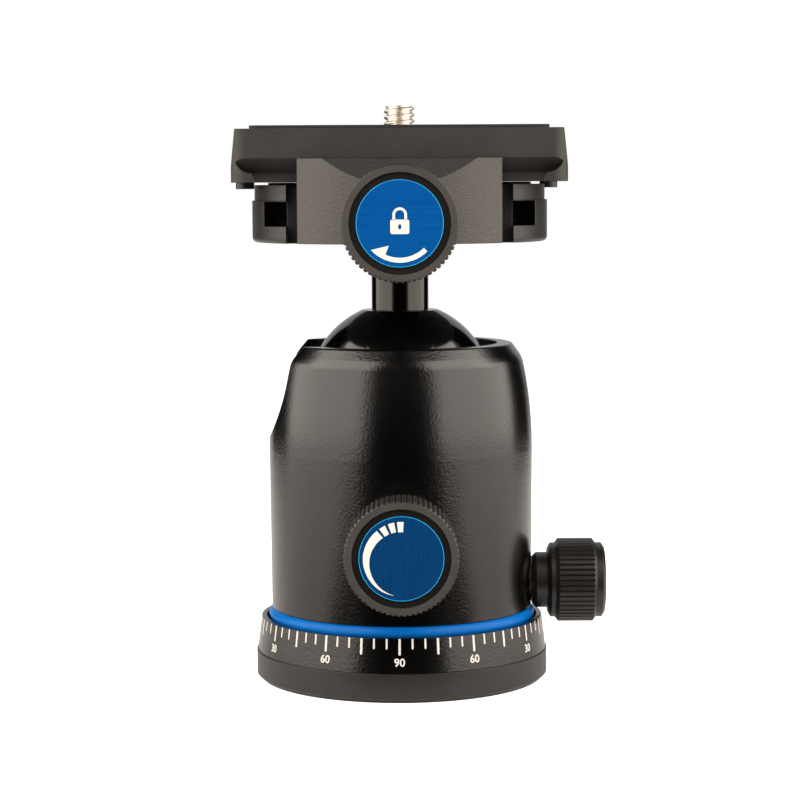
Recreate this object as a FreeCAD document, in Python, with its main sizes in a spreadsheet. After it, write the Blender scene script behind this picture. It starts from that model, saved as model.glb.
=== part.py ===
import FreeCAD, Part

import math
import os
import re

import Sketcher

# Tripod ball head, in millimetres. The origin is the centre of the base's underside and +Z is up.
# -Y is the front, with the two disc-faced knobs. The pan lock is at +X and the drop notch at -X.

Vector = FreeCAD.Vector
doc = FreeCAD.newDocument("ball_head")

# Driving sizes
SIZES = {
    # Base
    "base_flare": 1.1,
    "foot_step": 1.1,
    "base_foot_height": 1.0,
    "base_seam": 6.0,
    "seam_step": 0.2,
    "lip_gap": 0.5,
    "rim_top": 13.0,
    "lip_thickness": 1.0,
    "lip_depth": 2.4,
    "spigot_gap": 1.0,
    "thread_radius": 4.7625,
    "bush_radius": 7.5,
    "bush_flange_radius": 9.5,
    "bush_flange": 2.2,
    "bush_length": 13.0,
    "bush_cover": 1.0,
    # Pan spindle
    "spindle_flange_radius": 22.0,
    "spindle_flange": 3.0,
    "spindle_radius": 14.0,
    "base_screw_circle": 17.0,
    "base_screw_radius": 2.0,
    "base_screw_head_radius": 3.9,
    "base_screw_end_gap": 0.4,
    "washer_thickness": 1.05,
    "washer_bore_radius": 14.6,
    "cap_side_gap": 0.7,
    "cap_thickness": 1.8,
    "cap_gap": 0.2,
    "cap_screw_circle": 10.5,
    "cap_screw_radius": 1.5,
    "cap_screw_head_radius": 2.8,
    "cap_screw_length": 7.0,
    "drive_half_length": 1.5,
    "drive_half_width": 0.35,
    "base_drive_depth": 1.2,
    "cap_drive_depth": 1.0,
    "screw_count": 3,
    # Clearances
    "running_gap": 0.05,
    "seat_gap": 0.02,
    "loose_gap": 0.3,
    # Housing
    "housing_lift": 2.0,
    "housing_draft": 0.25,
    "housing_wall": 7.2,
    "shoulder_start_drop": 10.9,
    "shoulder_curve": 87.0,
    "shoulder_end_rise": 8.1,
    "shoulder_step": 2.1,
    "housing_top_rise": 11.0,
    "land_step": 2.1,
    "cavity_gap": 0.65,
    "floor_rise": 9.2,
    "ledge_height": 2.4,
    "ledge_width": 1.0,
    "spigot_step": 2.55,
    "shoulder_round": 5.0,
    "rim_round": 0.6,
    "notch_half_width": 12.2,
    "notch_rise": 3.6,
    "ring_section_radius": 1.5,
    "ring_inset": 0.85,
    # Ball and stem
    "ball_radius": 19.55,
    "ball_flat_depth": 1.65,
    "stem_length": 14.2,
    "stem_radius": 5.9,
    "liner_thickness": 0.48,
    "liner_top_drop": 7.5,
    "liner_bottom_drop": 17.4,
    "retainer_start": 4.1,
    "retainer_height": 4.0,
    "retainer_gap": 0.15,
    "retainer_notch_gap": 0.4,
    # Ball lock
    "seat_floor": 1.57,
    "seat_height": 12.8,
    "seat_bore_radius": 7.0,
    "lifter_head_radius": 13.0,
    "lifter_head": 1.2,
    "lifter_radius": 5.7,
    "lifter_drop_gap": 0.6,
    "guide_floor": 0.6,
    "slot_height": 7.4,
    "guide_roof": 0.75,
    "guide_slot_end": 10.0,
    "wedge_half_width": 6.0,
    "wedge_back": 13.0,
    "wedge_step": 8.0,
    "wedge_tip": 8.0,
    "wedge_slope": 0.364,
    "lock_screw_radius": 3.0,
    "lock_bush_radius": 6.0,
    "knob_teeth": 64,
    "tooth_spread": 3.0,
    "knob_radius": 11.25,
    "knob_tooth_depth": 0.42,
    "knob_band": 10.0,
    "knob_front_chamfer": 0.35,
    "knob_back_chamfer": 1.4,
    "knob_face_recess": 1.5,
    "knob_stem_radius": 6.5,
    "knob_ring_radius": 9.65,
    "knob_ring_thickness": 0.7,
    "knob_disc_radius": 8.3,
    "knob_disc_thickness": 1.25,
    "lock_stem_length": 3.7,
    "lock_knob_gap": 0.5,
    "knob_screw_depth": 7.0,
    # Pan lock
    "pan_lock_rise": 4.8,
    "shoe_radius": 3.5,
    "shoe_end": 19.0,
    "pan_screw_radius": 3.0,
    "pan_bush_radius": 4.5,
    "pan_bush_start": 20.5,
    "pan_knob_teeth": 48,
    "pan_knob_radius": 8.7,
    "pan_knob_tooth_depth": 0.38,
    "pan_stem_radius": 5.8,
    "pan_knob_gap": 0.2,
    "pan_stem_length": 3.25,
    "pan_stem_bevel": 0.85,
    "pan_neck_radius": 6.7,
    "pan_collar_radius": 7.8,
    "pan_neck_length": 0.6,
    "pan_collar_length": 0.9,
    "pan_back_bevel": 0.7,
    "pan_band_length": 7.2,
    "pan_front_bevel": 0.7,
    "pan_ring_length": 1.2,
    "pan_cap_rise": 0.9,
    "pan_cap_edge_radius": 6.9,
    "pan_cap_dome": 0.3,
    "pan_cap_depth": 2.0,
    "pan_cap_spigot_radius": 5.0,
    # Clamp
    "clamp_radius": 30.5,
    "clamp_lower_height": 8.5,
    "clamp_side_step": 0.5,
    "clamp_upper_height": 3.2,
    "clamp_round": 1.0,
    "seat_pad_half_width": 26.5,
    "seat_pad_half_depth": 13.0,
    "jaw_half_width": 20.3,
    "jaw_slot_half_width": 22.6,
    "jaw_slot_back": 16.9,
    "jaw_back": 17.6,
    "jaw_height": 16.9,
    "facet_top_depth": 26.4,
    "facet_slope": 1.3,
    "window_wall": 3.2,
    "window_floor": 3.4,
    "window_height": 5.0,
    "window_back": 6.0,
    "clamp_bolt_rise": 4.45,
    "clamp_bolt_radius": 3.0,
    "clamp_bolt_tip": 7.5,
    "clamp_bore_end": 7.0,
    "spring_outer_radius": 4.4,
    "spring_inner_radius": 3.4,
    "jaw_spring_pocket": 3.0,
    "clamp_spring_pocket": 2.9,
    "pin_rise": 6.0,
    "pin_offset": 12.0,
    "pin_radius": 2.0,
    "pin_cover": 4.5,
    "pin_end": 8.0,
    "spot_depth": 1.0,
    "spot_face_radius": 7.2,
    "clamp_washer_thickness": 0.8,
    "clamp_stem_length": 6.45,
    "clamp_screw_radius": 2.98,
    "clamp_screw_length": 15.5,
    "clamp_screw_web": 4.5,
    "clamp_screw_head_radius": 5.0,
    "clamp_screw_head": 5.0,
    "clamp_screw_socket": 2.9,
    "socket_depth": 3.0,
    # Plate
    "plate_lift": 0.5,
    "plate_thickness": 10.7,
    "plate_overhang": 3.2,
    "plate_draft": 0.9,
    "plate_draft_rise": 2.8,
    "plate_half_width": 20.2,
    "plate_corner": 3.0,
    "groove_roof_gap": 0.1,
    "flange_height": 1.8,
    "groove_root_half_width": 17.2,
    "groove_end_wall": 0.9,
    "groove_low_wall": 5.2,
    "groove_end_curve": 3.4,
    "jaw_grip_gap": 0.07,
    "pad_thickness": 0.7,
    "pad_inset": 2.7,
    "pad_corner": 2.0,
    "pad_hole_radius": 4.4,
    "stop_pin_reach": 0.9,
    "stop_pin_y": 9.0,
    "stop_pin_radius": 1.9,
    "stop_pin_drop": 1.3,
    "stop_pin_depth": 4.0,
    "screw_radius": 3.175,
    "screw_neck_radius": 2.6,
    "screw_reach": 4.2,
    "screw_chamfer": 0.5,
    "screw_head_radius": 8.0,
    "screw_head_rise": 1.2,
    "screw_head": 3.0,
    "screw_slot_half_width": 0.9,
    "screw_slot_depth": 1.4,
    "screw_pocket_radius": 8.6,
    "screw_pocket_gap": 0.5,
    "clip_radius": 5.0,
    "clip_thickness": 0.8,
    "clip_pocket_depth": 1.2,
}

# Places that follow from the driving sizes
PLACES = {
    "housing_foot": "rim_top + housing_lift",
    "housing_radius": "cavity_radius + housing_wall",
    "housing_foot_radius": "housing_radius - housing_draft",
    "spigot_radius": "housing_foot_radius - spigot_step",
    "shoulder_radius": "housing_radius - shoulder_step",
    "land_radius": "shoulder_radius - land_step",
    "cavity_radius": "ball_radius + cavity_gap",
    "ring_centre_radius": "housing_foot_radius - ring_inset",
    "ring_outer_radius": "ring_centre_radius + ring_section_radius",
    "ring_height": "housing_foot - ring_section_radius",
    "base_radius": "rim_radius + base_flare",
    "base_foot_radius": "base_radius - foot_step",
    "scale_foot_radius": "base_radius - seam_step",
    "scale_bore_radius": "spigot_radius + spigot_gap",
    "lip_bore_radius": "ring_outer_radius + lip_gap",
    "rim_radius": "lip_bore_radius + lip_thickness",
    "lip_floor": "rim_top - lip_depth",
    "spindle_flange_top": "base_seam + spindle_flange",
    "bush_pocket_top": "bush_length + bush_cover",
    "spigot_bottom": "spindle_flange_top + washer_thickness + running_gap",
    "pan_bore_radius": "spindle_radius + running_gap",
    "floor_top": "housing_foot + floor_rise",
    "ledge": "floor_top + ledge_height",
    "cap_radius": "cavity_radius - ledge_width - cap_side_gap",
    "cap_bottom": "floor_top + cap_gap",
    "cap_top": "cap_bottom + cap_thickness",
    "cap_screw_tip": "cap_top - cap_screw_length",
    "base_screw_tip": "spindle_flange_top - base_screw_end_gap",
    "slot_bottom": "ledge + guide_floor",
    "slot_top": "slot_bottom + slot_height",
    "lock_height": "(slot_bottom + slot_top) / 2",
    "guide_top": "slot_top + guide_roof",
    "lifter_shoulder": "guide_top + lifter_drop_gap",
    "lifter_top": "lifter_shoulder + lifter_head",
    "seat_bottom": "lifter_top + running_gap",
    "seat_top": "seat_bottom + seat_height",
    "liner_inner_radius": "ball_radius + running_gap",
    "liner_outer_radius": "liner_inner_radius + liner_thickness",
    "seat_sphere_radius": "liner_outer_radius + running_gap",
    "ball_centre": "seat_bottom + seat_floor + seat_sphere_radius",
    "ball_flat_top": "ball_centre + ball_radius - ball_flat_depth",
    "shoulder_start": "ball_centre - shoulder_start_drop",
    "shoulder_end": "ball_centre + shoulder_end_rise",
    "housing_top": "ball_centre + housing_top_rise",
    "notch_centre": "ball_centre + notch_rise",
    "liner_top": "ball_centre - liner_top_drop",
    "liner_bottom": "ball_centre - liner_bottom_drop",
    "retainer_bottom": "ball_centre + retainer_start",
    "retainer_top": "retainer_bottom + retainer_height",
    "moving_radius": "cavity_radius - running_gap",
    "fixed_radius": "cavity_radius - seat_gap",
    "wedge_bottom": "slot_bottom + running_gap",
    "wedge_top": "slot_top - 2 * running_gap",
    "lifter_foot_middle": "wedge_top - wedge_slope * wedge_step + running_gap",
    "lock_stem_start": "housing_radius + lock_knob_gap",
    "lock_knob_back": "lock_stem_start + lock_stem_length",
    "lock_knob_front": "lock_knob_back + knob_band",
    "pan_lock_height": "housing_foot + pan_lock_rise",
    "pan_stem_start": "housing_foot_radius + pan_knob_gap",
    "pan_stem_end": "pan_stem_start + pan_stem_length",
    "pan_collar_start": "pan_stem_end + pan_neck_length",
    "pan_collar_end": "pan_collar_start + pan_collar_length",
    "pan_band_start": "pan_collar_end + pan_back_bevel",
    "pan_band_end": "pan_band_start + pan_band_length",
    "pan_ring_start": "pan_band_end + pan_front_bevel",
    "pan_ring_end": "pan_ring_start + pan_ring_length",
    "pan_cap_end": "pan_ring_end + pan_cap_rise",
    "pan_dome_curve": "(pan_cap_edge_radius * pan_cap_edge_radius + pan_cap_dome * pan_cap_dome)"
                      " / (2 * pan_cap_dome)",
    "clamp_bottom": "ball_flat_top + stem_length",
    "stem_top": "clamp_bottom - running_gap",
    "clamp_step": "clamp_bottom + clamp_lower_height",
    "clamp_top": "clamp_step + clamp_upper_height",
    "clamp_top_radius": "clamp_radius - clamp_side_step",
    "jaw_top": "clamp_bottom + jaw_height",
    "window_outer": "clamp_radius - window_wall",
    "window_bottom": "clamp_bottom + window_floor",
    "window_top": "window_bottom + window_height",
    "clamp_bolt_height": "clamp_bottom + clamp_bolt_rise",
    "pin_height": "clamp_bottom + pin_rise",
    "pin_front": "clamp_radius - pin_cover",
    "spot_face": "clamp_radius - spot_depth",
    "clamp_stem_start": "spot_face + clamp_washer_thickness + running_gap",
    "clamp_knob_back": "clamp_stem_start + clamp_stem_length",
    "clamp_knob_front": "clamp_knob_back + knob_band",
    "clamp_screw_seat": "clamp_bottom + clamp_screw_web",
    "clamp_screw_tip": "clamp_screw_seat - clamp_screw_length",
    "plate_bottom": "clamp_top + plate_lift",
    "plate_top": "plate_bottom + plate_thickness",
    "plate_half_length": "clamp_radius + plate_overhang",
    "plate_top_half_length": "plate_half_length - plate_draft",
    "plate_draft_start": "plate_bottom + plate_draft_rise",
    "groove_top": "jaw_top + groove_roof_gap",
    "groove_root": "plate_bottom + flange_height",
    "groove_end": "plate_half_length - groove_end_wall",
    "groove_end_low": "plate_half_length - groove_low_wall",
    "stop_pin_x": "clamp_radius + stop_pin_reach",
    "clamp_pad_top": "plate_bottom - running_gap",
    "flange_half_width": "groove_root_half_width + groove_root - plate_bottom",
    "jaw_tip": "groove_root_half_width + jaw_grip_gap",
    "jaw_mouth": "jaw_tip + jaw_top - groove_root",
    "jaw_foot": "jaw_tip + groove_root - clamp_pad_top",
    "facet_outer_depth": "clamp_radius + loose_gap",
    "facet_outer_height": "jaw_top - facet_slope * (facet_outer_depth - facet_top_depth)",
    "screw_head_bottom": "plate_bottom + screw_head_rise",
    "screw_head_top": "screw_head_bottom + screw_head",
    "screw_pocket_top": "screw_head_top + screw_pocket_gap",
    "pad_top": "plate_top + pad_thickness",
    "screw_top": "pad_top + screw_reach",
    "clip_pocket_bottom": "plate_top - clip_pocket_depth",
    "stop_pin_bottom": "plate_bottom - stop_pin_drop",
}


def fill_sheet(name, cells):
    sheet = doc.addObject("Spreadsheet::Sheet", name)
    for row, (alias, _) in enumerate(cells, start=1):
        sheet.set("A%d" % row, alias)
        sheet.setAlias("B%d" % row, alias)
    for row, (_, value) in enumerate(cells, start=1):
        sheet.set("B%d" % row, value)
    return sheet


def with_sheets(text, local=()):
    """The expression with each size's name pointed at its sheet."""

    def point(match):
        word = match.group(0)
        if word in local:
            return word
        return ("Sizes." if word in SIZES else "Places.") + word

    return re.sub(r"[a-z]\w*", point, text)


sizes_sheet = fill_sheet("Sizes", [(k, str(v)) for k, v in SIZES.items()])
places_sheet = fill_sheet("Places", [(k, "=" + with_sheets(v, PLACES)) for k, v in PLACES.items()])
doc.recompute()


def number(text):
    return float(places_sheet.evalExpression(with_sheets(text)))


def bind(piece, **properties):
    for name, text in properties.items():
        piece.setExpression(name, with_sheets(text))
    return piece


def put(piece, x="0", y="0", z="0", turn=None):
    """Place a piece at a bound position, turned by (axis, degrees)."""
    if turn:
        piece.Placement = FreeCAD.Placement(Vector(), FreeCAD.Rotation(Vector(*turn[0]), turn[1]))
    for axis, text in zip("xyz", (x, y, z)):
        if text != "0":
            piece.setExpression(".Placement.Base." + axis, with_sheets(text))
    return piece


TO_FRONT = ((1, 0, 0), 90)
TO_BACK = ((1, 0, 0), -90)
TO_RIGHT = ((0, 1, 0), 90)


# Sketched outlines
def arc_between(start, end, radius, turn):
    """The arc under half a circle from start to end, turning left (1) or right (-1)."""
    chord = end - start
    height = math.sqrt(max(radius**2 - chord.Length**2 / 4, 0))
    side = Vector(-chord.y, chord.x, 0).normalize() * turn
    centre = (start + end) * 0.5 + side * height
    first, last = (start, end) if turn > 0 else (end, start)
    angles = [math.atan2(p.y - centre.y, p.x - centre.x) for p in (first, last)]
    return Part.ArcOfCircle(Part.Circle(centre, Vector(0, 0, 1), radius), *angles)


def hold_point(sketch, edge, point, corner):
    """Hold an edge's point at (x, y), given as size expressions."""
    axes = (("DistanceX", -2), ("DistanceY", -1))
    for (kind, axis), text in zip(axes, corner[:2]):
        if text == "0":
            sketch.addConstraint(Sketcher.Constraint("PointOnObject", edge, point, axis))
            continue
        held = Sketcher.Constraint(kind, -1, 1, edge, point, number(text))
        index = sketch.addConstraint(held)
        sketch.setExpression("Constraints[%d]" % index, with_sheets(text))


def draw(sketch, corners):
    """Close an outline through corners (x, y) or, where an arc ends, (x, y, radius, turn)."""
    spots = [Vector(number(c[0]), number(c[1]), 0) for c in corners]
    ends = []
    for i, corner in enumerate(corners):
        start, end = spots[i - 1], spots[i]
        if len(corner) == 2:
            edge = sketch.addGeometry(Part.LineSegment(start, end))
            ends.append((edge, 1, 2))
        else:
            arc = arc_between(start, end, number(corner[2]), corner[3])
            edge = sketch.addGeometry(arc)
            ends.append((edge, 1, 2) if corner[3] > 0 else (edge, 2, 1))
            index = sketch.addConstraint(Sketcher.Constraint("Radius", edge, number(corner[2])))
            sketch.setExpression("Constraints[%d]" % index, with_sheets(corner[2]))
    for i, (edge, first, last) in enumerate(ends):
        before = ends[i - 1]
        sketch.addConstraint(Sketcher.Constraint("Coincident", before[0], before[2], edge, first))
        hold_point(sketch, edge, last, corners[i])


def sketch_on(body, role, corners, name):
    sketch = body.newObject("Sketcher::SketchObject", name)
    plane = [f for f in body.Origin.OriginFeatures if f.Role == role][0]
    sketch.AttachmentSupport = (plane, [""])
    sketch.MapMode = "FlatFace"
    draw(sketch, corners)
    return sketch


def turned(name, corners):
    """A body turned about its Z axis from an outline of (radius, height) corners."""
    body = doc.addObject("PartDesign::Body", name)
    sketch = sketch_on(body, "XZ_Plane", corners, name + "_outline")
    turn = body.newObject("PartDesign::Revolution", name + "_turn")
    turn.Profile = sketch
    turn.ReferenceAxis = (sketch, ["V_Axis"])
    turn.Angle = 360
    return body


def padded(name, role, corners, length):
    """A body padded evenly both ways from an outline on one of its origin planes."""
    body = doc.addObject("PartDesign::Body", name)
    sketch = sketch_on(body, role, corners, name + "_outline")
    pad = body.newObject("PartDesign::Pad", name + "_pad")
    pad.Profile = sketch
    pad.SideType = "Symmetric"
    bind(pad, Length=length)
    return body


def add_teeth(body, radius, depth, count):
    """Cut straight V grooves along a knob's rim, all round. A spread of pi would make them meet."""
    half = "tooth_spread * (%s) / (%s)" % (radius, count)
    corners = [
        ("%s - %s" % (radius, depth), "0"),
        ("%s + %s" % (radius, depth), half),
        ("%s + %s" % (radius, depth), "-%s" % half),
    ]
    sketch = sketch_on(body, "XY_Plane", corners, body.Name + "_tooth")
    groove = body.newObject("PartDesign::Pocket", body.Name + "_groove")
    groove.Profile = sketch
    groove.Type = "ThroughAll"
    groove.Reversed = True
    doc.recompute()
    whole = groove.BaseFeature.Shape.Volume
    if groove.Shape.Volume >= whole:
        raise RuntimeError("the tooth groove of %s cuts nothing" % body.Name)
    teeth = body.newObject("PartDesign::PolarPattern", body.Name + "_teeth")
    teeth.Originals = [groove]
    teeth.Axis = (sketch, ["N_Axis"])
    teeth.Angle = 360
    bind(teeth, Occurrences=count)
    body.Tip = teeth
    return body


# Plain solids
def cylinder(name, radius, start, end, across=("0", "0"), along="Z"):
    """A cylinder from start to end along an axis; across gives the other two coordinates."""
    piece = bind(doc.addObject("Part::Cylinder", name), Radius=radius, Height="(%s) - (%s)" % (end, start))
    if along == "Z":
        return put(piece, across[0], across[1], start)
    if along == "Y":
        return put(piece, across[0], start, across[1], TO_BACK)
    return put(piece, start, across[0], across[1], TO_RIGHT)


def cone(name, first, last, start, end, across=("0", "0")):
    piece = doc.addObject("Part::Cone", name)
    bind(piece, Radius1=first, Radius2=last, Height="(%s) - (%s)" % (end, start))
    return put(piece, across[0], across[1], start)


def box(name, x, y, z):
    """A box between (low, high) pairs."""
    piece = doc.addObject("Part::Box", name)
    sides = zip(("Length", "Width", "Height"), (x, y, z))
    bind(piece, **{side: "(%s) - (%s)" % (high, low) for side, (low, high) in sides})
    return put(piece, x[0], y[0], z[0])


def sphere(name, radius, height):
    piece = bind(doc.addObject("Part::Sphere", name), Radius=radius)
    return put(piece, z=height)


def joined(name, pieces):
    union = doc.addObject("Part::MultiFuse", name)
    union.Shapes = pieces
    union.Refine = True
    return union


def group(name, pieces):
    """Identical fasteners kept as separate solids of one piece."""
    compound = doc.addObject("Part::Compound", name)
    compound.Links = pieces
    return compound


def common(name, pieces):
    shared = doc.addObject("Part::MultiCommon", name)
    shared.Shapes = pieces
    return shared


def cut(name, base, tools):
    tool = tools[0] if len(tools) == 1 else joined(name + "_tools", tools)
    less = doc.addObject("Part::Cut", name)
    less.Base = base
    less.Tool = tool
    less.Refine = True
    return less


NODES = []


def node(piece, label):
    piece.Label = label
    NODES.append(piece)
    return piece


def around(count, radius):
    """The (x, y) of evenly spaced points on a circle, as expressions."""
    steps = [2 * math.pi * (i + 0.25) / count for i in range(count)]
    return [("%s * %.9f" % (radius, math.cos(a)), "%s * %.9f" % (radius, math.sin(a))) for a in steps]


# Base
def countersunk_screws(name, spots, head, face, tip, upwards):
    """Screws of a head radius, flush with a face, with their holes' cutters."""
    radius = name + "_radius"
    depth = "%s - %s" % (head, radius)
    screws, holes = [], []
    for i, spot in enumerate(spots):
        tag = "%s_%d" % (name, i)
        if upwards:
            neck = "%s + (%s)" % (face, depth)
            shank = cylinder(tag + "_shank", radius, neck, tip, spot)
            cap = cone(tag + "_head", head, radius, face, neck, spot)
            hole = cylinder(tag + "_hole", radius, neck, tip, spot)
            sink = cone(tag + "_sink", head, radius, face, neck, spot)
        else:
            neck = "%s - (%s)" % (face, depth)
            shank = cylinder(tag + "_shank", radius, tip, neck, spot)
            cap = cone(tag + "_head", radius, head, neck, face, spot)
            hole = cylinder(tag + "_hole", radius, tip, neck, spot)
            sink = cone(tag + "_sink", radius, head, neck, face, spot)
        screws.append(joined(tag, [shank, cap]))
        holes.append(joined(tag + "_cutter", [hole, sink]))
    return screws, holes


def driven(name, screws, spots, top, bottom):
    """Screws with a cross-shaped drive slot between two heights."""
    done = []
    for i, (screw, spot) in enumerate(zip(screws, spots)):
        tag = "%s_%d_drive" % (name, i)
        wide, tall = (("%s - drive_half_length" % c, "%s + drive_half_length" % c) for c in spot)
        thin, flat = (("%s - drive_half_width" % c, "%s + drive_half_width" % c) for c in spot)
        bars = [box(tag + "_a", wide, flat, (bottom, top)), box(tag + "_b", thin, tall, (bottom, top))]
        done.append(cut(tag, screw, bars))
    return done


def make_base():
    spots = around(SIZES["screw_count"], "base_screw_circle")
    screws, holes = countersunk_screws(
        "base_screw", spots, "base_screw_head_radius", "0", "base_screw_tip", True)
    disc = turned("base_disc_body", [
        ("bush_radius", "bush_flange"),
        ("bush_flange_radius", "bush_flange"),
        ("bush_flange_radius", "0"),
        ("base_foot_radius", "0"),
        ("base_radius", "base_foot_height"),
        ("base_radius", "base_seam"),
        ("bush_radius", "base_seam"),
    ])
    node(cut("base_disc", disc, holes), "base_disc")
    node(turned("scale_ring", [
        ("scale_bore_radius", "base_seam"),
        ("scale_foot_radius", "base_seam"),
        ("rim_radius", "rim_top"),
        ("lip_bore_radius", "rim_top"),
        ("lip_bore_radius", "lip_floor"),
        ("scale_bore_radius", "lip_floor"),
    ]), "scale_ring")
    node(turned("tripod_bush", [
        ("thread_radius", "0"),
        ("bush_flange_radius - seat_gap", "0"),
        ("bush_flange_radius - seat_gap", "bush_flange"),
        ("bush_radius - seat_gap", "bush_flange"),
        ("bush_radius - seat_gap", "bush_length"),
        ("thread_radius", "bush_length"),
    ]), "tripod_bush")
    post = turned("pan_spindle_body", [
        ("0", "bush_pocket_top"),
        ("bush_radius", "bush_pocket_top"),
        ("bush_radius", "base_seam"),
        ("spindle_flange_radius", "base_seam"),
        ("spindle_flange_radius", "spindle_flange_top"),
        ("spindle_radius", "spindle_flange_top"),
        ("spindle_radius", "cap_bottom"),
        ("0", "cap_bottom"),
    ])
    cap_spots = around(SIZES["screw_count"], "cap_screw_circle")
    cap_screws, cap_holes = countersunk_screws(
        "cap_screw", cap_spots, "cap_screw_head_radius", "cap_top", "cap_screw_tip", False)
    node(cut("pan_spindle", post, holes + cap_holes), "pan_spindle")
    node(group("base_screws", driven("base_screw", screws, spots, "base_drive_depth", "0")), "base_screws")
    node(turned("pan_washer", [
        ("washer_bore_radius", "spindle_flange_top"),
        ("spindle_flange_radius", "spindle_flange_top"),
        ("spindle_flange_radius", "spindle_flange_top + washer_thickness"),
        ("washer_bore_radius", "spindle_flange_top + washer_thickness"),
    ]), "pan_washer")
    lid = cylinder("spindle_cap_disc", "cap_radius", "cap_bottom", "cap_top")
    node(cut("spindle_cap", lid, cap_holes), "spindle_cap")
    heads = driven("cap_screw", cap_screws, cap_spots, "cap_top", "cap_top - cap_drive_depth")
    node(group("cap_screws", heads), "cap_screws")


# Housing
def rounded_edges(body, rings):
    """Fillet a turned body's circular edges, each given as (radius, height, fillet radius)."""
    for i, (radius, height, size) in enumerate(rings):
        doc.recompute()
        base = body.Tip
        names = []
        for k, edge in enumerate(base.Shape.Edges, start=1):
            centre = getattr(edge.Curve, "Center", None)
            if centre is None or abs(centre.z - number(height)) > 1e-4:
                continue
            if abs(edge.Curve.Radius - number(radius)) < 1e-4:
                names.append("Edge%d" % k)
        fillet = body.newObject("PartDesign::Fillet", "%s_round_%d" % (body.Name, i))
        fillet.Base = (base, names)
        bind(fillet, Radius=size)
        body.Tip = fillet


def make_housing():
    shell = turned("housing_body", [
        ("pan_bore_radius", "spigot_bottom"),
        ("spigot_radius", "spigot_bottom"),
        ("spigot_radius", "housing_foot"),
        ("housing_foot_radius", "housing_foot"),
        ("housing_radius", "shoulder_start"),
        ("shoulder_radius", "shoulder_end", "shoulder_curve", 1),
        ("land_radius", "housing_top"),
        ("cavity_radius", "housing_top"),
        ("cavity_radius", "ledge"),
        ("cavity_radius - ledge_width", "ledge"),
        ("cavity_radius - ledge_width", "floor_top"),
        ("pan_bore_radius", "floor_top"),
    ])
    rounded_edges(shell, [
        ("shoulder_radius", "shoulder_end", "shoulder_round"),
        ("land_radius", "housing_top", "rim_round"),
    ])
    outside = "housing_radius + loose_gap"
    notch_low = cylinder("notch_round", "notch_half_width", "-(%s)" % outside, "0",
                         ("0", "notch_centre"), "X")
    notch_high = box("notch_top", ("-(%s)" % outside, "0"),
                     ("-notch_half_width", "notch_half_width"),
                     ("notch_centre", "housing_top + loose_gap"))
    lock_bore = cylinder("lock_bush_bore", "lock_bush_radius", "-(%s)" % outside, "0",
                         ("0", "lock_height"), "Y")
    shoe_bore = cylinder("shoe_bore", "shoe_radius + running_gap", "0", "pan_bush_start",
                         ("0", "pan_lock_height"), "X")
    bush_bore = cylinder("pan_bush_bore", "pan_bush_radius", "pan_bush_start", outside,
                         ("0", "pan_lock_height"), "X")
    node(cut("housing", shell, [notch_low, notch_high, lock_bore, shoe_bore, bush_bore]), "housing")
    node(turned("index_ring", [
        ("spigot_radius", "ring_height - ring_section_radius"),
        ("ring_centre_radius", "ring_height - ring_section_radius"),
        ("ring_outer_radius", "ring_height", "ring_section_radius", 1),
        ("ring_centre_radius", "housing_foot", "ring_section_radius", 1),
        ("spigot_radius", "housing_foot"),
    ]), "index_ring")
    band = cylinder("retainer_band", "fixed_radius", "retainer_bottom", "retainer_top")
    hollow = sphere("retainer_hollow", "ball_radius + retainer_gap", "ball_centre")
    gap = "notch_half_width + retainer_notch_gap"
    mouth = box("retainer_mouth", ("-cavity_radius", "0"), ("-(%s)" % gap, gap),
                ("retainer_bottom", "retainer_top"))
    node(cut("ball_retaining_ring", band, [hollow, mouth]), "ball_retaining_ring")
    block = cylinder("wedge_guide_block", "fixed_radius", "ledge", "guide_top")
    half = "wedge_half_width + running_gap"
    slot = box("wedge_slot", ("-(%s)" % half, half), ("-cavity_radius", "guide_slot_end"),
               ("slot_bottom", "slot_top"))
    bore = cylinder("lifter_bore", "lifter_radius + running_gap", "slot_bottom", "guide_top")
    node(cut("wedge_guide", block, [slot, bore]), "wedge_guide")
    bush = cylinder("lock_bush_rod", "lock_bush_radius - seat_gap", "-housing_foot_radius",
                    "-cavity_radius - running_gap", ("0", "lock_height"), "Y")
    hole = cylinder("lock_bush_hole", "lock_screw_radius + running_gap", "-housing_radius", "0",
                    ("0", "lock_height"), "Y")
    node(cut("lock_bush", bush, [hole]), "lock_bush")
    pan_bush = cylinder("pan_bush_rod", "pan_bush_radius - seat_gap", "pan_bush_start + seat_gap",
                        "housing_foot_radius", ("0", "pan_lock_height"), "X")
    pan_hole = cylinder("pan_bush_hole", "pan_screw_radius + running_gap", "pan_bush_start",
                        "housing_radius", ("0", "pan_lock_height"), "X")
    node(cut("pan_lock_bush", pan_bush, [pan_hole]), "pan_lock_bush")


# Ball lock
def slope_height(y):
    """The lifter's sloping foot at a depth y."""
    return "lifter_foot_middle - wedge_slope * (%s)" % y


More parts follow.
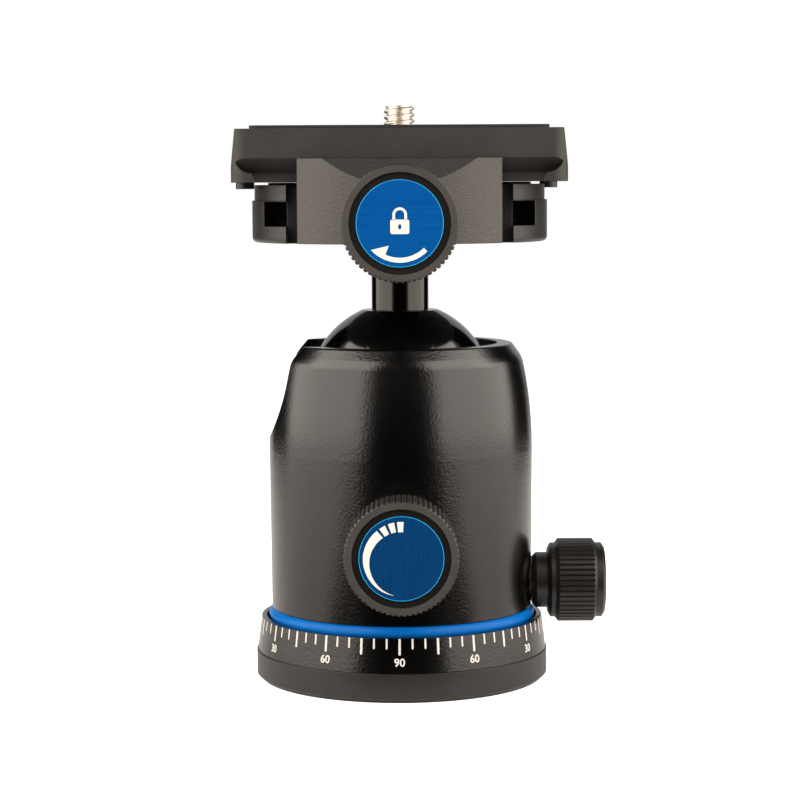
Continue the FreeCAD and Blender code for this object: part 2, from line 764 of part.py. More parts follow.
def make_ball_lock():
    wedge_low = "wedge_top - wedge_slope * (wedge_step + wedge_tip)"
    node(padded("lock_wedge", "YZ_Plane", [
        ("-wedge_back", "wedge_bottom"),
        ("wedge_tip", "wedge_bottom"),
        ("wedge_tip", wedge_low),
        ("-wedge_step", "wedge_top"),
        ("-wedge_back", "wedge_top"),
    ], "2 * wedge_half_width"), "lock_wedge")
    stem = cylinder("lifter_stem", "lifter_radius", "slot_bottom", "lifter_shoulder")
    head = cylinder("lifter_head_disc", "lifter_head_radius", "lifter_shoulder", "lifter_top")
    foot = padded("lifter_foot_cutter", "YZ_Plane", [
        ("-wedge_step", "floor_top"),
        ("wedge_step", "floor_top"),
        ("wedge_step", slope_height("wedge_step")),
        ("-wedge_step", slope_height("-wedge_step")),
    ], "4 * lifter_radius")
    node(cut("lifter", joined("lifter_whole", [stem, head]), [foot]), "lifter")
    cup = cylinder("ball_seat_block", "moving_radius", "seat_bottom", "seat_top")
    hollow = sphere("ball_seat_hollow", "seat_sphere_radius", "ball_centre")
    bore = cylinder("ball_seat_bore", "seat_bore_radius", "seat_bottom", "seat_top")
    node(cut("ball_seat", cup, [hollow, bore]), "ball_seat")


def knob_set(prefix, height, front, back, stem_start, screw_name, screw_tip):
    """A knob along -Y, with its face ring, face disc and screw."""
    face = "%s - knob_face_recess" % front
    depth = "%s - knob_screw_depth" % front
    radius = {"lock": "lock_screw_radius", "clamp": "clamp_bolt_radius"}[prefix]
    knob = turned(prefix + "_knob", [
        (radius, stem_start),
        ("knob_stem_radius", stem_start),
        ("knob_stem_radius", "%s - knob_back_chamfer" % back),
        ("knob_radius - knob_back_chamfer", "%s - knob_back_chamfer" % back),
        ("knob_radius", back),
        ("knob_radius", "%s - knob_front_chamfer" % front),
        ("knob_radius - knob_front_chamfer", front),
        ("knob_ring_radius", front),
        ("knob_ring_radius", face),
        ("0", face),
        ("0", depth),
        (radius, depth),
    ])
    add_teeth(knob, "knob_radius", "knob_tooth_depth", "knob_teeth")
    ring = turned(prefix + "_knob_bezel", [
        ("knob_disc_radius", face),
        ("knob_ring_radius - seat_gap", face),
        ("knob_ring_radius - seat_gap", "%s + knob_ring_thickness" % face),
        ("knob_disc_radius", "%s + knob_ring_thickness" % face),
    ])
    disc = turned(prefix + "_knob_disc", [
        ("0", face),
        ("knob_disc_radius - seat_gap", face),
        ("knob_disc_radius - seat_gap", "%s + knob_disc_thickness - seat_gap" % face),
        ("knob_disc_radius - 3 * seat_gap", "%s + knob_disc_thickness" % face),
        ("0", "%s + knob_disc_thickness" % face),
    ])
    for piece in (knob, ring, disc):
        node(put(piece, z=height, turn=TO_FRONT), piece.Name)
    screw = cylinder(screw_name, radius, "-(%s)" % depth, screw_tip, ("0", height), "Y")
    node(screw, screw_name)


def make_pan_lock():
    rod = cylinder("pan_shoe_rod", "shoe_radius", "0", "shoe_end", ("0", "pan_lock_height"), "X")
    face = cylinder("pan_shoe_face", "pan_bore_radius", "base_seam", "ledge")
    node(cut("pan_shoe", rod, [face]), "pan_shoe")
    inner = "pan_band_end - knob_screw_depth / 2"
    knob = turned("pan_knob", [
        ("pan_screw_radius", "pan_stem_start"),
        ("pan_stem_radius - pan_stem_bevel", "pan_stem_start"),
        ("pan_stem_radius", "pan_stem_start + pan_stem_bevel"),
        ("pan_stem_radius", "pan_stem_end"),
        ("pan_neck_radius", "pan_stem_end"),
        ("pan_collar_radius", "pan_collar_start"),
        ("pan_collar_radius", "pan_collar_end"),
        ("pan_knob_radius", "pan_band_start"),
        ("pan_knob_radius", "pan_band_end"),
        ("pan_collar_radius + running_gap", "pan_ring_start"),
        ("pan_cap_spigot_radius", "pan_ring_start"),
        ("pan_cap_spigot_radius", "pan_ring_start - pan_cap_depth"),
        ("0", "pan_ring_start - pan_cap_depth"),
        ("0", inner),
        ("pan_screw_radius", inner),
    ])
    add_teeth(knob, "pan_knob_radius", "pan_knob_tooth_depth", "pan_knob_teeth")
    node(put(knob, z="pan_lock_height", turn=TO_RIGHT), "pan_knob")
    cap = turned("pan_knob_cap", [
        ("0", "pan_ring_start - pan_cap_depth"),
        ("pan_cap_spigot_radius - seat_gap", "pan_ring_start - pan_cap_depth"),
        ("pan_cap_spigot_radius - seat_gap", "pan_ring_start"),
        ("pan_collar_radius", "pan_ring_start"),
        ("pan_collar_radius", "pan_ring_end"),
        ("pan_cap_edge_radius", "pan_cap_end - pan_cap_dome"),
        ("0", "pan_cap_end", "pan_dome_curve", 1),
    ])
    node(put(cap, z="pan_lock_height", turn=TO_RIGHT), "pan_knob_cap")
    node(cylinder("pan_lock_screw", "pan_screw_radius", "shoe_end + running_gap", inner,
                  ("0", "pan_lock_height"), "X"), "pan_lock_screw")


# Ball, liner and stem
def make_ball():
    shell = sphere("liner_outer", "liner_outer_radius", "ball_centre")
    core = sphere("liner_inner", "liner_inner_radius", "ball_centre")
    slab = cylinder("liner_slab", "cavity_radius", "liner_bottom", "liner_top")
    node(cut("ball_liner", common("liner_band", [shell, slab]), [core]), "ball_liner")
    whole = sphere("ball_whole", "ball_radius", "ball_centre")
    keep = cylinder("ball_keep", "cavity_radius", "ball_centre - cavity_radius", "ball_flat_top")
    stem = cylinder("stem", "stem_radius", "ball_centre", "stem_top")
    body = joined("ball_and_stem", [common("ball_cropped", [whole, keep]), stem])
    hole = cylinder("stem_thread", "clamp_screw_radius", "clamp_screw_tip", "stem_top")
    node(cut("ball", body, [hole]), "ball")
    head_bottom = "clamp_screw_seat + running_gap"
    head_top = head_bottom + " + clamp_screw_head"
    shank = cylinder("clamp_screw_shank", "clamp_screw_radius", "clamp_screw_tip", head_bottom)
    head = cylinder("clamp_screw_cap", "clamp_screw_head_radius", head_bottom, head_top)
    socket = bind(doc.addObject("Part::Prism", "clamp_screw_hexagon"),
                  Circumradius="clamp_screw_socket", Height="socket_depth")
    socket.Polygon = 6
    put(socket, z=head_top + " - socket_depth")
    node(cut("clamp_screw", joined("clamp_screw_whole", [shank, head]), [socket]), "clamp_screw")


# Quick-release clamp
def jaw_outline(sign):
    """Half section of a jaw in (y, z), with its lip in the plate's groove."""
    def y(text):
        return "-(%s)" % text if sign < 0 else text

    return [
        (y("jaw_foot"), "clamp_pad_top"),
        (y("jaw_tip"), "groove_root"),
        (y("jaw_mouth"), "jaw_top"),
        (y("facet_top_depth"), "jaw_top"),
        (y("facet_outer_depth"), "facet_outer_height"),
    ], y


def make_clamp():
    low = cylinder("clamp_disc", "clamp_radius", "clamp_bottom", "clamp_step")
    high = cylinder("clamp_upper_disc", "clamp_top_radius", "clamp_step", "clamp_top")
    rounded = doc.addObject("Part::Fillet", "clamp_disc_round")
    rounded.Base = low
    doc.recompute()
    ring = [i for i, e in enumerate(low.Shape.Edges, start=1)
            if e.Closed and abs(e.CenterOfMass.z - number("clamp_bottom")) < 1e-6]
    size = number("clamp_round")
    rounded.Edges = [(i, size, size) for i in ring]
    outline, y = jaw_outline(1)
    rear = padded("rear_jaw_bar", "YZ_Plane",
                  [(y("jaw_foot"), "clamp_step")] + outline + [(y("facet_outer_depth"), "clamp_step")],
                  "2 * jaw_half_width")
    bounds = cylinder("rear_jaw_bounds", "clamp_radius", "clamp_step", "jaw_top")
    pad = box("plate_seat", ("-seat_pad_half_width", "seat_pad_half_width"),
              ("-seat_pad_half_depth", "seat_pad_half_depth"), ("clamp_step", "clamp_pad_top"))
    body = joined("clamp_whole", [rounded, high, common("rear_jaw", [rear, bounds]), pad])
    slot = box("jaw_slot", ("-jaw_slot_half_width", "jaw_slot_half_width"),
               ("-clamp_radius", "-jaw_slot_back"), ("clamp_bottom", "jaw_top"))
    window = box("side_windows", ("-window_outer", "window_outer"), ("-clamp_radius", "-window_back"),
                 ("window_bottom", "window_top"))
    keep = box("window_middle", ("-jaw_slot_half_width", "jaw_slot_half_width"),
               ("-jaw_slot_back", "-window_back"), ("window_bottom", "window_top"))
    windows = cut("window_cutter", window, [keep])
    bore = cylinder("clamp_bolt_bore", "clamp_bolt_radius + running_gap", "-jaw_slot_back",
                    "-clamp_bore_end", ("0", "clamp_bolt_height"), "Y")
    pocket = cylinder("clamp_spring_bore", "spring_outer_radius + 4 * running_gap", "-jaw_slot_back",
                      "-jaw_slot_back + clamp_spring_pocket", ("0", "clamp_bolt_height"), "Y")
    pins = [cylinder("pin_bore_%d" % i, "pin_radius", "-jaw_slot_back", "-pin_end",
                     (x, "pin_height"), "Y") for i, x in enumerate(("-pin_offset", "pin_offset"))]
    shank = cylinder("clamp_screw_bore", "clamp_bolt_radius + loose_gap", "clamp_bottom", "clamp_screw_seat")
    head = cylinder("clamp_screw_pocket", "clamp_screw_head_radius + loose_gap", "clamp_screw_seat",
                    "clamp_pad_top")
    node(cut("clamp_body", body, [slot, windows, bore, pocket, shank, head] + pins), "clamp_body")
    rods = [cylinder("guide_pin_%d" % i, "pin_radius - seat_gap", "-pin_front", "-pin_end",
                     (x, "pin_height"), "Y") for i, x in enumerate(("-pin_offset", "pin_offset"))]
    node(group("jaw_guide_pins", rods), "jaw_guide_pins")


def make_jaw():
    outline, y = jaw_outline(-1)
    bar = padded("jaw_bar", "YZ_Plane", [
        (y("jaw_back"), "clamp_bottom + running_gap"),
        (y("jaw_back"), "clamp_pad_top"),
    ] + outline + [
        (y("facet_outer_depth"), "clamp_bottom + running_gap"),
    ], "2 * jaw_half_width")
    bounds = cylinder("jaw_bounds", "clamp_radius", "clamp_bottom", "jaw_top")
    body = common("jaw_whole", [bar, bounds])
    bolt = cylinder("jaw_bolt_bore", "clamp_bolt_radius + loose_gap", "-clamp_radius", "-jaw_back",
                    ("0", "clamp_bolt_height"), "Y")
    pocket = cylinder("jaw_spring_bore", "spring_outer_radius + 4 * running_gap",
                      "-jaw_back - jaw_spring_pocket", "-jaw_back", ("0", "clamp_bolt_height"), "Y")
    spot = cylinder("jaw_spot_face", "spot_face_radius", "-clamp_radius - loose_gap", "-spot_face",
                    ("0", "clamp_bolt_height"), "Y")
    pins = [cylinder("jaw_pin_bore_%d" % i, "pin_radius + running_gap", "-pin_front - loose_gap",
                     "-jaw_back", (x, "pin_height"), "Y")
            for i, x in enumerate(("-pin_offset", "pin_offset"))]
    node(cut("jaw", body, [bolt, pocket, spot] + pins), "jaw")
    coil = cylinder("spring_outside", "spring_outer_radius", "-jaw_back - jaw_spring_pocket + running_gap",
                    "-jaw_slot_back + clamp_spring_pocket - running_gap", ("0", "clamp_bolt_height"), "Y")
    hollow = cylinder("spring_inside", "spring_inner_radius", "-clamp_radius", "0",
                      ("0", "clamp_bolt_height"), "Y")
    node(cut("jaw_spring", coil, [hollow]), "jaw_spring")
    disc = cylinder("clamp_washer_disc", "knob_stem_radius", "-spot_face - clamp_washer_thickness",
                    "-spot_face", ("0", "clamp_bolt_height"), "Y")
    eye = cylinder("clamp_washer_eye", "clamp_bolt_radius + loose_gap", "-clamp_radius - loose_gap",
                   "-spot_face", ("0", "clamp_bolt_height"), "Y")
    node(cut("clamp_washer", disc, [eye]), "clamp_washer")


# Quick-release plate
def make_plate():
    block = padded("plate_block", "XZ_Plane", [
        ("-plate_half_length", "plate_bottom"),
        ("plate_half_length", "plate_bottom"),
        ("plate_half_length", "plate_draft_start"),
        ("plate_top_half_length", "plate_top"),
        ("-plate_top_half_length", "plate_top"),
        ("-plate_half_length", "plate_draft_start"),
    ], "2 * plate_half_width")
    plan = padded("plate_plan", "XY_Plane", rounded_box("plate_half_length", "plate_half_width",
                                                      "plate_corner"), "4 * plate_top")
    body = common("plate_whole", [block, plan])
    arc = "groove_end_curve"
    window = padded("groove_window", "XZ_Plane", [
        ("-groove_end_low", "plate_bottom"),
        ("groove_end_low", "plate_bottom"),
        ("groove_end - %s" % arc, "groove_root"),
        ("groove_end", "groove_root + %s" % arc, arc, 1),
        ("groove_end", "plate_top"),
        ("-groove_end", "plate_top"),
        ("-groove_end", "groove_root + %s" % arc),
        ("-groove_end + %s" % arc, "groove_root", arc, 1),
    ], "4 * plate_half_width")
    grooves = []
    outer = "plate_half_width + loose_gap"
    for i, sign in enumerate(("-", "")):
        section = padded("groove_section_%d" % i, "YZ_Plane", [
            ("%s(flange_half_width)" % sign, "plate_bottom"),
            ("%s(groove_root_half_width)" % sign, "groove_root"),
            ("%s(%s)" % (sign, outer), "groove_top + loose_gap"),
            ("%s(%s)" % (sign, outer), "plate_bottom"),
        ], "4 * plate_half_length")
        grooves.append(common("groove_%d" % i, [section, window]))
    pocket = cylinder("screw_pocket", "screw_pocket_radius", "plate_bottom", "screw_pocket_top")
    hole = cylinder("screw_hole", "screw_radius + loose_gap", "screw_pocket_top", "plate_top")
    recess = cylinder("clip_recess", "clip_radius + loose_gap", "clip_pocket_bottom", "plate_top")
    spots = (("-stop_pin_x", "-stop_pin_y"), ("stop_pin_x", "stop_pin_y"))
    pin_top = "plate_bottom + stop_pin_depth"
    sockets = [cylinder("stop_pin_bore_%d" % i, "stop_pin_radius", "plate_bottom", pin_top, spot)
               for i, spot in enumerate(spots)]
    node(cut("plate", body, grooves + [pocket, hole, recess] + sockets), "plate")
    pins = [cylinder("stop_pin_%d" % i, "stop_pin_radius - seat_gap", "stop_pin_bottom", pin_top, spot)
            for i, spot in enumerate(spots)]
    node(group("plate_stop_pins", pins), "plate_stop_pins")
    sheet = padded("pad_sheet", "XY_Plane", rounded_box(
        "plate_top_half_length - pad_inset", "plate_half_width - pad_inset", "pad_corner"), "pad_thickness")
    put(sheet, z="plate_top + pad_thickness / 2")
    eye = cylinder("pad_eye", "pad_hole_radius", "plate_top", "pad_top")
    node(cut("plate_pad", sheet, [eye]), "plate_pad")


def rounded_box(half_x, half_y, radius):
    """A rectangle with rounded corners, anticlockwise."""
    in_x = "%s - %s" % (half_x, radius)
    in_y = "%s - %s" % (half_y, radius)
    return [
        (in_x, "-(%s)" % half_y),
        (half_x, "-(%s)" % in_y, radius, 1),
        (half_x, in_y),
        (in_x, half_y, radius, 1),
        ("-(%s)" % in_x, half_y),
        ("-(%s)" % half_x, in_y, radius, 1),
        ("-(%s)" % half_x, "-(%s)" % in_y),
        ("-(%s)" % in_x, "-(%s)" % half_y, radius, 1),
    ]


def make_camera_screw():
    body = turned("camera_screw_body", [
        ("0", "screw_head_bottom"),
        ("screw_head_radius", "screw_head_bottom"),
        ("screw_head_radius", "screw_head_top"),
        ("screw_neck_radius", "screw_head_top"),
        ("screw_neck_radius", "pad_top"),
        ("screw_radius", "pad_top"),
        ("screw_radius", "screw_top - screw_chamfer"),
        ("screw_radius - screw_chamfer", "screw_top"),
        ("0", "screw_top"),
    ])
    slot = box("screw_slot", ("-screw_head_radius", "screw_head_radius"),
               ("-screw_slot_half_width", "screw_slot_half_width"),
               ("screw_head_bottom", "screw_head_bottom + screw_slot_depth"))
    node(cut("camera_screw", body, [slot]), "camera_screw")
    disc = cylinder("clip_disc", "clip_radius", "clip_pocket_bottom + running_gap",
                    "clip_pocket_bottom + running_gap + clip_thickness")
    hole = cylinder("clip_hole", "screw_neck_radius + seat_gap", "clip_pocket_bottom", "plate_top")
    gap = box("clip_gap", ("0", "clip_radius"),
              ("-screw_neck_radius / 2", "screw_neck_radius / 2"), ("clip_pocket_bottom", "plate_top"))
    node(cut("screw_clip", disc, [hole, gap]), "screw_clip")


make_base()
make_housing()
make_ball_lock()
knob_set("lock", "lock_height", "lock_knob_front", "lock_knob_back", "lock_stem_start",
         "lock_screw", "-wedge_back - running_gap")
make_pan_lock()
make_ball()
make_clamp()
make_jaw()
knob_set("clamp", "clamp_bolt_height", "clamp_knob_front", "clamp_knob_back", "clamp_stem_start",
         "clamp_bolt", "-clamp_bolt_tip")
make_plate()
make_camera_screw()
doc.recompute()


# Checks and files
for piece in doc.Objects:
    if "Invalid" in piece.State or "Error" in piece.State:
        raise RuntimeError("%s failed: %s" % (piece.Label, piece.State))
for piece in NODES:
    if piece.Shape.isNull() or not piece.Shape.isValid():
        raise RuntimeError("%s has no valid shape" % piece.Label)

os.makedirs("parts", exist_ok=True)
for piece in NODES:
    piece.Shape.exportStep("parts/%s.step" % piece.Label)
print("wrote %d nodes" % len(NODES))
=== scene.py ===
# %% [markdown]
# # A tripod ball head, dressed for its picture
# The solids of this ball head come from its CAD model. They are already in place, in metres, with
# the origin under the middle of the base, Z up and the two disc-faced knobs at the front (-Y).
# This lesson adds what a CAD model leaves out: paint with its grain, printed marks, real screw
# threads, a wound spring, soft light and the camera.

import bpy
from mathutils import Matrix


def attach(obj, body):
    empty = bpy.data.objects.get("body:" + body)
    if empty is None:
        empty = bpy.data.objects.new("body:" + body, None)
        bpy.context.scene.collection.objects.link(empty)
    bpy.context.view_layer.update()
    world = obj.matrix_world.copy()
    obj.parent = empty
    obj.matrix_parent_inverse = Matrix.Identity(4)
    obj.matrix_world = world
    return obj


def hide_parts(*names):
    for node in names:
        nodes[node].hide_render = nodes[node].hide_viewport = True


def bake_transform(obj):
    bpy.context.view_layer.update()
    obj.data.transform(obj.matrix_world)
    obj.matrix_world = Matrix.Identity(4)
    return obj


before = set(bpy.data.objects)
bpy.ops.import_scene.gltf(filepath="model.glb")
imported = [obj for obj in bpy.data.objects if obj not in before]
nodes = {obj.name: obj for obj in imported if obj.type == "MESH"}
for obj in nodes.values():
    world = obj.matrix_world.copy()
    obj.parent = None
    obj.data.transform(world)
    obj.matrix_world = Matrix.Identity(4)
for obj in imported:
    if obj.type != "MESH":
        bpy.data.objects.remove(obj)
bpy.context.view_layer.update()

# %% Tools and the unit
import math

import bmesh
import bpy
import numpy as np
from mathutils import Matrix, Vector

MM = 0.001
scene = bpy.context.scene
scene.view_settings.view_transform = "Standard"

# %% [markdown]
# ## Building a finish from nodes
# Each finish is a small node tree that feeds one Principled shader. The patterns read the object's
# own coordinates, so they stay on the piece when it turns. Two helpers keep the trees short: one
# adds a node and links or sets its inputs, the other makes noise of a given grain in millimetres.

# %% Add one node
def add(tree, kind, inputs, **settings):
    """A node with its settings. An input given as a socket is linked, anything else is set."""
    made = tree.nodes.new(kind)
    for name, value in settings.items():
        setattr(made, name, value)
    for key, value in inputs.items():
        if isinstance(value, bpy.types.NodeSocket):
            tree.links.new(value, made.inputs[key])
        else:
            made.inputs[key].default_value = value
    return made


# %% Noise of a given grain
def noise(tree, grain, stretch=(1, 1, 1), detail=2.0, centre=(0, 0, 0)):
    """Noise whose lumps are about grain millimetres, divided along each axis by stretch."""
    place = tree.nodes.new("ShaderNodeTexCoord").outputs["Object"]
    moved = add(tree, "ShaderNodeVectorMath", {0: place, 1: tuple(c * MM for c in centre)},
                operation="SUBTRACT").outputs[0]
    size = tuple(s / (grain * MM) for s in stretch)
    scaled = add(tree, "ShaderNodeVectorMath", {0: moved, 1: size}, operation="MULTIPLY").outputs[0]
    return add(tree, "ShaderNodeTexNoise",
               {"Vector": scaled, "Scale": 1.0, "Detail": detail, "Roughness": 0.55}).outputs["Fac"]


# %% Remap, mix and sum values
def remap(tree, value, low, high, start=0.3, end=0.7):
    """The value stretched so that start to end becomes low to high."""
    return add(tree, "ShaderNodeMapRange", {"Value": value, "From Min": start, "From Max": end,
                                            "To Min": low, "To Max": high}).outputs["Result"]


def mix(tree, amount, first, second):
    """From the first colour to the second as amount goes from 0 to 1."""
    return add(tree, "ShaderNodeMix", {0: amount, 6: first, 7: second}, data_type="RGBA").outputs[2]


def total(tree, first, second, share):
    """first plus share times second."""
    return add(tree, "ShaderNodeMath", {0: second, 1: share, 2: first},
               operation="MULTIPLY_ADD").outputs[0]


def shade(colour, factor):
    return tuple(c * factor for c in colour) + (1.0,)


# %% [markdown]
# ## Painted and anodised skins
# Powder coat is a skin of tiny melted beads: soft lumps about a millimetre wide, called orange
# peel, with a finer grain on top. Anodised metal shows the fine lines left by the lathe. Both are
# the same recipe with other sizes: blotchy colour, uneven roughness and a height made of two
# noises. A Bevel node rounds the light over sharp edges, as the skin does on the real part.

# %% One recipe for skins
def skin(name, colour, roughness, coarse, fine, depth, edge=0.25, metal=0.0, spread=0.12,
         gloss=0.5, second=None):
    """coarse and fine are (grain, stretch) pairs; depth is the height of the lumps in millimetres.

    second is (axis, start, end, tone): where the face's direction along that axis passes from
    start to end, the colour is multiplied by tone. This is painted shade: faces turned that way
    are darkened as if they stood in shade."""
    finish = bpy.data.materials.new(name)
    finish.use_nodes = True
    tree = finish.node_tree
    shader = tree.nodes["Principled BSDF"]
    blotch = noise(tree, 9.0, detail=4.0)
    lumps = noise(tree, *coarse)
    grit = noise(tree, *fine)
    tint = total(tree, blotch, grit, 0.5)
    paint = mix(tree, remap(tree, tint, 0.0, 1.0, 0.5, 1.0), shade(colour, 1 - spread),
                shade(colour, 1 + spread))
    # Faces turned one way get painted shade: their colour is darkened by a factor.
    if second:
        axis, start, end, shade_tone = second
        facing = tree.nodes.new("ShaderNodeTexCoord").outputs["Normal"]
        along = add(tree, "ShaderNodeSeparateXYZ", {0: facing}).outputs[axis]
        paint = mix(tree, remap(tree, along, 0.0, 1.0, start, end), paint, shade(colour, shade_tone))
    tree.links.new(paint, shader.inputs["Base Color"])
    uneven = total(tree, blotch, grit, 0.8)
    tree.links.new(remap(tree, uneven, roughness * 0.88, roughness * 1.12, 0.6, 1.2),
                   shader.inputs["Roughness"])
    rounded = add(tree, "ShaderNodeBevel", {"Radius": edge * MM}, samples=4).outputs["Normal"]
    height = total(tree, lumps, grit, 0.35)
    bump = add(tree, "ShaderNodeBump", {"Height": height, "Strength": 1.0, "Distance": depth * MM,
                                        "Normal": rounded})
    tree.links.new(bump.outputs["Normal"], shader.inputs["Normal"])
    shader.inputs["Metallic"].default_value = metal
    shader.inputs["Specular IOR Level"].default_value = gloss
    print("finish:", name)
    return finish


EVEN = (1, 1, 1)
LATHE = (0.15, 0.15, 1)

# %% The painted shells
GLOSS_BLACK = (0.0009, 0.0008, 0.0007)
housing_coat = skin("housing_powder_coat", GLOSS_BLACK, 0.20, (0.5, EVEN), (0.22, EVEN), 0.034, gloss=0.60)
scale_skin = skin("scale_band_lacquer", GLOSS_BLACK, 0.20, (0.6, EVEN), (0.25, EVEN), 0.028)
base_skin = skin("turned_black_anodising", (0.0075, 0.0063, 0.0053), 0.38, (0.5, LATHE), (0.16, EVEN),
                 0.010)
clamp_coat = skin("clamp_matt_coat", (0.0075, 0.0070, 0.0065), 0.42, (0.5, EVEN), (0.2, EVEN), 0.040)
# The jaw's faces that look upwards, its bevels and tops, are darkened: painted shade.
jaw_coat = skin("jaw_textured_coat", (0.0450, 0.0420, 0.0390), 0.52, (0.42, (0.6, 1, 1.1)), (0.16, EVEN),
                0.130, second=("Z", 0.3, 0.45, 0.22))
plate_coat = skin("plate_matt_coat", (0.0160, 0.0152, 0.0140), 0.60, (0.6, EVEN), (0.2, EVEN), 0.045,
                  spread=0.2)

# %% The gloss and the knurled skins
ball_skin = skin("ball_gloss_anodising", (0.0006, 0.0005, 0.0005), 0.11, (2.4, EVEN), (0.12, EVEN), 0.003)
# The knobs' faces that don't look straight forward, the knurled teeth among them, are darkened: painted
# shade.
knob_skin = skin("knob_satin_anodising", (0.038, 0.034, 0.031), 0.48, (0.5, EVEN), (0.14, EVEN), 0.010,
                 edge=0.12, second=("Y", -0.9, -0.7, 0.30))
bezel_skin = skin("bezel_gloss_black", (0.0085, 0.0075, 0.0066), 0.34, (0.8, EVEN), (0.2, EVEN), 0.003,
                  edge=0.10)
pan_knob_skin = skin("pan_knob_black_anodising", (0.0075, 0.0070, 0.0066), 0.36, (0.5, EVEN),
                     (0.14, EVEN), 0.008, edge=0.12)
ring_skin = skin("index_ring_blue", (0.0, 0.118, 0.45), 0.34, (1.4, EVEN), (0.3, EVEN), 0.004, spread=0.06,
                 gloss=0.12)
rubber = skin("pad_rubber", (0.010, 0.0112, 0.0135), 0.78, (0.45, EVEN), (0.15, EVEN), 0.030)

# %% [markdown]
# ## Bare metals and slippery plastic
# The inner parts are turned steel, brass and alloy, which carry rings from the lathe, and white
# low-friction plastic with a faint waxy mottle. Metal gets its look from its reflection, so it is
# fully metallic, and its noise is drawn out into lines.

# %% The inner parts
steel = skin("turned_steel", (0.56, 0.55, 0.53), 0.30, (0.5, LATHE), (0.15, EVEN), 0.004, metal=1.0)
thread_steel = skin("bright_plated_steel", (0.86, 0.79, 0.71), 0.40, (0.6, EVEN), (0.2, EVEN), 0.004,
                    edge=0.06, metal=1.0)
brass = skin("machined_brass", (0.72, 0.50, 0.20), 0.30, (0.4, LATHE), (0.15, EVEN), 0.004, metal=1.0)
alloy = skin("machined_alloy", (0.68, 0.68, 0.68), 0.34, (0.4, LATHE), (0.15, EVEN), 0.004, metal=1.0)
slip = skin("slippery_white_plastic", (0.78, 0.77, 0.73), 0.42, (1.5, EVEN), (0.3, EVEN), 0.006, spread=0.04)
dark_steel = skin("blackened_steel", (0.010, 0.0095, 0.009), 0.42, (0.5, LATHE), (0.15, EVEN), 0.004)
bronze = skin("oiled_bronze", (0.075, 0.052, 0.028), 0.36, (0.4, LATHE), (0.15, EVEN), 0.004, metal=1.0)
moulding = skin("moulded_black_plastic", (0.022, 0.022, 0.022), 0.48, (0.8, EVEN), (0.25, EVEN), 0.014)

# %% [markdown]
# ## Brushed blue discs
# A thin disc of dyed aluminium sits in each knob. Brushing draws scratches right across it, level
# on the clamp's disc and nearly upright on the lock's. Noise stretched a hundredfold along the
# stroke gives them, as streaks of colour and as very shallow grooves.

# %% Brushed dye
def brushed(name, dark, bright, stretch, centre):
    finish = bpy.data.materials.new(name)
    finish.use_nodes = True
    tree = finish.node_tree
    shader = tree.nodes["Principled BSDF"]
    strokes = noise(tree, 0.30, stretch, 3.0, centre)
    scratches = noise(tree, 0.07, stretch, 2.0, centre)
    both = total(tree, strokes, scratches, 0.5)
    tree.links.new(mix(tree, remap(tree, both, 0.0, 1.0, 0.6, 0.95), dark + (1.0,), bright + (1.0,)),
                   shader.inputs["Base Color"])
    tree.links.new(remap(tree, scratches, 0.30, 0.42), shader.inputs["Roughness"])
    bump = add(tree, "ShaderNodeBump", {"Height": both, "Strength": 0.5, "Distance": 0.003 * MM})
    tree.links.new(bump.outputs["Normal"], shader.inputs["Normal"])
    shader.inputs["Specular IOR Level"].default_value = 0.05
    print("finish:", name)
    return finish


CLAMP_KNOB_HEIGHT, LOCK_KNOB_HEIGHT = 95.45, 30.9
STROKE = 0.012
clamp_disc_dye = brushed("clamp_disc_blue", (0.0, 0.048, 0.205), (0.0, 0.066, 0.250), (STROKE, 1, 1),
                         (0, 0, CLAMP_KNOB_HEIGHT))
lock_disc_dye = brushed("lock_disc_blue", (0.0, 0.024, 0.092), (0.0, 0.036, 0.125), (1, 1, STROKE),
                        (0, 0, LOCK_KNOB_HEIGHT))

# %% [markdown]
# ## Which piece wears which finish
# A CAD solid whose shape is right stays as it is and only gets a new material in its slot.

# %% Dress the solids
DRESS = {
    housing_coat: ["housing"],
    base_skin: ["base_disc"],
    scale_skin: ["scale_ring"],
    clamp_coat: ["clamp_body"],
    jaw_coat: ["jaw"],
    plate_coat: ["plate"],
    ball_skin: ["ball"],
    knob_skin: ["lock_knob", "clamp_knob"],
    pan_knob_skin: ["pan_knob"],
    bezel_skin: ["lock_knob_bezel", "clamp_knob_bezel", "pan_knob_cap"],
    ring_skin: ["index_ring"],
    rubber: ["plate_pad"],
    clamp_disc_dye: ["clamp_knob_disc"],
    lock_disc_dye: ["lock_knob_disc"],
    steel: ["tripod_bush", "base_screws", "spindle_cap", "cap_screws", "lifter", "lock_screw",
            "pan_lock_screw", "clamp_screw", "jaw_guide_pins", "jaw_spring", "clamp_washer",
            "clamp_bolt", "screw_clip"],
    dark_steel: ["plate_stop_pins"],
    bronze: ["pan_lock_bush"],
    thread_steel: ["camera_screw"],
    brass: ["lock_bush", "lock_wedge", "pan_shoe"],
    alloy: ["pan_spindle"],
    slip: ["pan_washer", "ball_seat", "ball_liner"],
    moulding: ["ball_retaining_ring", "wedge_guide"],
}
for finish, names in DRESS.items():
    for name in names:
        nodes[name].material_slots[0].material = finish
left_plain = set(nodes) - {name for names in DRESS.values() for name in names}
print("solids dressed:", len(nodes) - len(left_plain), "left plain:", sorted(left_plain))

# %% [markdown]
# ## Surfaces from grids of points
# Every new piece is a grid of points worked out as whole arrays, and each cell of the grid is a
# face. The grid may close on itself in either direction, and an open end gets one flat face.

